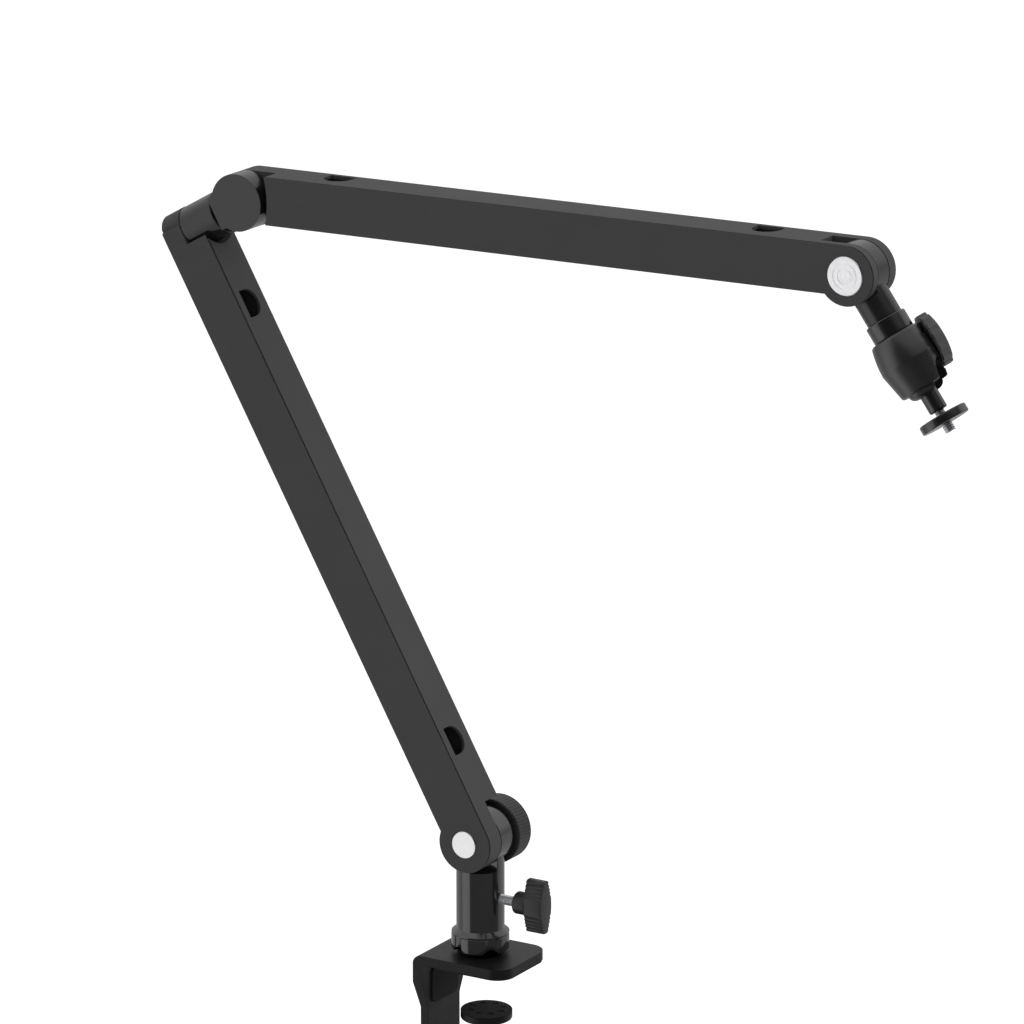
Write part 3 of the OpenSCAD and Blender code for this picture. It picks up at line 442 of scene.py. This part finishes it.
def breakEdges(node, pieceName, width, steps):
    only(frame["nodes"][node])
    bpy.ops.object.duplicate()
    piece = bpy.context.object
    piece.name = piece.data.name = pieceName
    # the copy starts free of the node's body and of the frame's marks
    for mark in [key for key in piece.keys() if key.startswith("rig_")]:
        del piece[mark]
    piece.parent = None
    bpy.ops.object.mode_set(mode="EDIT")
    bpy.ops.mesh.select_all(action="SELECT")
    bpy.ops.mesh.remove_doubles(threshold=edgeWork["merge"])
    bpy.ops.mesh.dissolve_limited(angle_limit=math.radians(edgeWork["flatWithin"]))
    bpy.ops.object.mode_set(mode="OBJECT")
    bevelEdges(piece, width, steps, edgeWork["bevelOver"])
    smoothBy(piece, edgeWork["housingSmoothTo" if node == "ball_housing" else "smoothTo"])
    # flat faces stay flat: the narrow edge strips take all the turn of the shading
    evened = piece.modifiers.new("evenShading", "WEIGHTED_NORMAL")
    evened.weight = 100
    evened.keep_sharp = True
    applyModifiers(piece)
    return piece


def openGroove(cover, node):
    middle = middleOf(node)
    for vertex in cover.data.vertices:
        if vertex.co.y > middle.y:
            vertex.co.y -= edgeWork["coverGap"]


for node, (pieceName, body, slot, finish, width, steps) in brokenEdges.items():
    piece = breakEdges(node, pieceName, width, steps)
    if node.endswith("_cover"):
        openGroove(piece, node)
    rideAs(piece, body, node, finish)
print("cast and cut pieces made")

# Tension knob: a knurled rim with sloping edges, and a dish in its outer face; sizes in mm
knobLook = {
    "radius": 19.45, "teeth": 60, "toothEdge": 0.12, "toothCut": 0.28, "rim": 1.0, "rimDrop": 0.7,
    "dish": 13.0, "dishWall": 0.8, "dishDepth": 1.2,
    "edge": 0.12, "edgeSteps": 2, "bevelOver": 30, "smoothTo": 32,
}


def makeTensionKnob(knob):
    low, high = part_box("tension_knob")
    depth = high.y - low.y
    bpy.ops.mesh.primitive_cylinder_add(vertices=knob["teeth"] * 2, radius=knob["radius"] * mm, depth=depth,
                                        end_fill_type="NGON")
    piece = bpy.context.object
    piece.name = "tensionKnob"
    editFaces(piece, lambda face: abs(face.normal.z) > 0.9)
    bpy.ops.mesh.inset(thickness=knob["rim"] * mm)
    bpy.ops.object.mode_set(mode="OBJECT")
    for vertex in piece.data.vertices:
        if math.hypot(vertex.co.x, vertex.co.y) > (knob["radius"] - knob["rim"] / 2) * mm:
            vertex.co.z = math.copysign(depth / 2 - knob["rimDrop"] * mm, vertex.co.z)
    # every other face round the side is cut in
    sides = [face for face in piece.data.polygons if abs(face.normal.z) < 0.1]
    sides.sort(key=lambda face: math.atan2(face.center.y, face.center.x))
    cuts = {face.index for face in sides[::2]}
    editFaces(piece, lambda face: face.index in cuts)
    bpy.ops.mesh.inset(thickness=knob["toothEdge"] * mm, depth=-knob["toothCut"] * mm, use_individual=True)
    bpy.ops.object.mode_set(mode="OBJECT")
    # of the faces that look outwards only the end is larger than the dish's square
    editFaces(piece, lambda face: face.normal.z > 0.9 and face.area > (knob["dish"] * mm) ** 2)
    bpy.ops.mesh.inset(thickness=(knob["radius"] - knob["rim"] - knob["dish"]) * mm)
    bpy.ops.mesh.inset(thickness=knob["dishWall"] * mm, depth=-knob["dishDepth"] * mm)
    bpy.ops.object.mode_set(mode="OBJECT")
    piece.location = (low + high) / 2
    piece.rotation_euler = (-math.pi / 2, 0, 0)
    placeInMesh(piece)
    bevelEdges(piece, knob["edge"], knob["edgeSteps"], knob["bevelOver"])
    smoothBy(piece, knob["smoothTo"])
    return piece


rideAs(makeTensionKnob(knobLook), "tension_knob", "tension_knob", knobBlack)
print("tension knob made")

# Thumbscrew's wing: a bowed blade with scalloped grips and rounded tips, on a round hub; sizes in mm
wingLook = {
    "half": 15.8, "belly": 6.3, "tip": 2.6, "tipRound": 1.5, "thick": 11.6,
    "grips": 4, "gripFrom": 5.4, "gripTo": 14.4, "gripDepth": 0.85,
    "spans": 76, "reach": 0.999,  # the outline's steps from tip to tip, and how near the tips they come
    "hub": 6.6, "hubSides": 64, "hubSunk": 1,
    "bladeEdge": (0.45, 3), "hubEdge": (1.2, 4), "bevelOver": 50, "smoothTo": 40,
}


def wingThickness(wing, along):
    # half the blade's thickness at a distance from its middle
    far = abs(along)
    rise = wing["belly"] - wing["tip"]
    bow = (wing["half"] ** 2 + rise ** 2) / 2 / rise
    half = math.sqrt(bow ** 2 - far ** 2) - bow + wing["belly"]
    share = (far - wing["gripFrom"]) / (wing["gripTo"] - wing["gripFrom"])
    if 0 < share < 1:
        half -= wing["gripDepth"] * (1 - math.cos(2 * math.pi * wing["grips"] * share)) / 2
    past = far - wing["half"] + wing["tipRound"]
    if past > 0:
        half -= wing["tipRound"] - math.sqrt(max(wing["tipRound"] ** 2 - past ** 2, 0))
    return half


def makeWing(wing):
    low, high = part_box("thumbscrew_wing")
    middle = (low + high) / 2
    thick = wing["thick"] * mm
    alongs = [wing["half"] * math.sin(math.pi * (i / wing["spans"] - 0.5) * wing["reach"])
              for i in range(wing["spans"] + 1)]
    outline = [(along, wingThickness(wing, along)) for along in alongs]
    outline += [(along, -wingThickness(wing, along)) for along in reversed(alongs)]
    bpy.ops.mesh.primitive_circle_add(vertices=len(outline), fill_type="NGON")
    blade = bpy.context.object
    blade.name = "thumbWing"
    for vertex, (along, half) in zip(blade.data.vertices, outline):
        vertex.co = (0, half * mm, along * mm)
    bpy.ops.object.mode_set(mode="EDIT")
    bpy.ops.mesh.select_all(action="SELECT")
    bpy.ops.mesh.extrude_region_move(TRANSFORM_OT_translate={"value": (thick, 0, 0)})
    bpy.ops.mesh.select_all(action="SELECT")
    bpy.ops.mesh.normals_make_consistent(inside=False)
    bpy.ops.object.mode_set(mode="OBJECT")
    blade.location = (high.x - thick, middle.y, middle.z)
    placeInMesh(blade)
    hubDepth = high.x - low.x - (wing["thick"] - wing["hubSunk"]) * mm
    bpy.ops.mesh.primitive_cylinder_add(vertices=wing["hubSides"], radius=wing["hub"] * mm, depth=hubDepth,
                                        location=(low.x + hubDepth / 2, middle.y, middle.z),
                                        rotation=(0, math.pi / 2, 0))
    hub = bpy.context.object
    placeInMesh(hub)
    for part, edge in ((blade, wing["bladeEdge"]), (hub, wing["hubEdge"])):
        bevelEdges(part, *edge, wing["bevelOver"])
        smoothBy(part, wing["smoothTo"])
    joinTo(blade, hub)
    return blade


rideAs(makeWing(wingLook), "thumbscrew", "thumbscrew_wing", knobBlack)
print("thumbscrew wing made")

# Threaded rods, cut as a true helix; sizes in mm, starts in metres
threadForm = {
    # radius and share of the pitch
    "profile": [("root", 0), ("crest", 0.40), ("crest", 0.52), ("root", 0.92), ("root", 1)],
    "stepsPerTurn": 40, "merge": 0.001 * mm, "smoothTo": 28,
}


def threadedRod(pieceName, rod):
    profile = threadForm["profile"]
    pitch = rod["pitch"] * mm
    bpy.ops.mesh.primitive_circle_add(vertices=len(profile), fill_type="NOTHING")
    piece = bpy.context.object
    piece.name = pieceName
    for vertex, (radius, share) in zip(piece.data.vertices, profile):
        vertex.co = (rod[radius] * mm, 0, share * pitch)
        vertex.select = False
    for edge in piece.data.edges:
        edge.select = sorted(edge.vertices) == [0, len(profile) - 1]
    only(piece)
    bpy.ops.object.mode_set(mode="EDIT")
    bpy.ops.mesh.select_mode(type="EDGE")
    bpy.ops.mesh.delete(type="EDGE")
    bpy.ops.object.mode_set(mode="OBJECT")
    helix = piece.modifiers.new("helix", "SCREW")
    helix.axis = "Z"
    helix.screw_offset = pitch
    helix.iterations = math.ceil(rod["length"] / rod["pitch"]) + 2
    helix.steps = helix.render_steps = threadForm["stepsPerTurn"]
    helix.use_merge_vertices = False
    applyModifiers(piece)
    # a turn too many at each end is cut off square, and the ends are closed
    bpy.ops.object.mode_set(mode="EDIT")
    bpy.ops.mesh.select_mode(type="VERT")
    bpy.ops.mesh.select_all(action="SELECT")
    bpy.ops.mesh.remove_doubles(threshold=threadForm["merge"])
    for level, side in ((pitch, -1), (pitch + rod["length"] * mm, 1)):
        bpy.ops.mesh.select_all(action="SELECT")
        bpy.ops.mesh.bisect(plane_co=(0, 0, level), plane_no=(0, 0, side), use_fill=True, clear_outer=True)
    bpy.ops.mesh.select_all(action="SELECT")
    bpy.ops.mesh.normals_make_consistent(inside=False)
    bpy.ops.object.mode_set(mode="OBJECT")
    piece.data.transform(Matrix.Translation((0, 0, -pitch)))
    axis = Vector(rod["axis"]).normalized()
    piece.matrix_world = Matrix.Translation(rod["start"]) @ axis.to_track_quat("Z", "Y").to_matrix().to_4x4()
    placeInMesh(piece)
    smoothBy(piece, threadForm["smoothTo"])
    return piece


stemLow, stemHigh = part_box("thumbscrew_stem")
thumbThread = {
    "root": 2.45, "crest": 3.0, "pitch": 1.0, "length": (stemHigh.x - stemLow.x) / mm, "axis": (1, 0, 0),
    "start": (stemLow.x, (stemLow.y + stemHigh.y) / 2, (stemLow.z + stemHigh.z) / 2),
}
rideAs(threadedRod("thumbThread", thumbThread), "thumbscrew", "thumbscrew_stem", rodSteel)

# The stem and the disc hide a slimmer run of the camera screw, so its full thread starts past the disc
screwJoint = next(joint for joint in frame["joints"] if joint["name"] == "disc_turn")
headAxis = Vector(screwJoint["axis"])
ballCentre = Vector(screwJoint["pos_m"])
seatedThread = {
    "root": 2.6, "crest": 2.88, "pitch": 1.27, "length": 16.2, "axis": headAxis,
    "start": ballCentre + headAxis * 15.2 * mm,
}
cameraThread = {
    "root": 2.75, "crest": 3.175, "pitch": 1.27, "length": 4.5, "axis": headAxis,
    "start": ballCentre + headAxis * 31.4 * mm,
}
seatedRun = threadedRod("seatedThread", seatedThread)
cameraScrew = threadedRod("cameraThread", cameraThread)
joinTo(cameraScrew, seatedRun)
rideAs(cameraScrew, "ball", "camera_screw", rodSteel)

spindleLow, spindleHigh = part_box("clamp_spindle")
spindleHead = 7  # the neck and head at the spindle's top, hidden in the pressure plate, are left out
clampThread = {
    "root": 5.1, "crest": 6.0, "pitch": 3.0, "length": (spindleHigh.z - spindleLow.z) / mm - spindleHead,
    "axis": (0, 0, 1), "start": ((spindleLow.x + spindleHigh.x) / 2, 0, spindleLow.z),
}
rideAs(threadedRod("clampThread", clampThread), "spindle", "clamp_spindle", rodSteel)
print("threaded rods made")

bpy.ops.object.select_all(action="DESELECT")
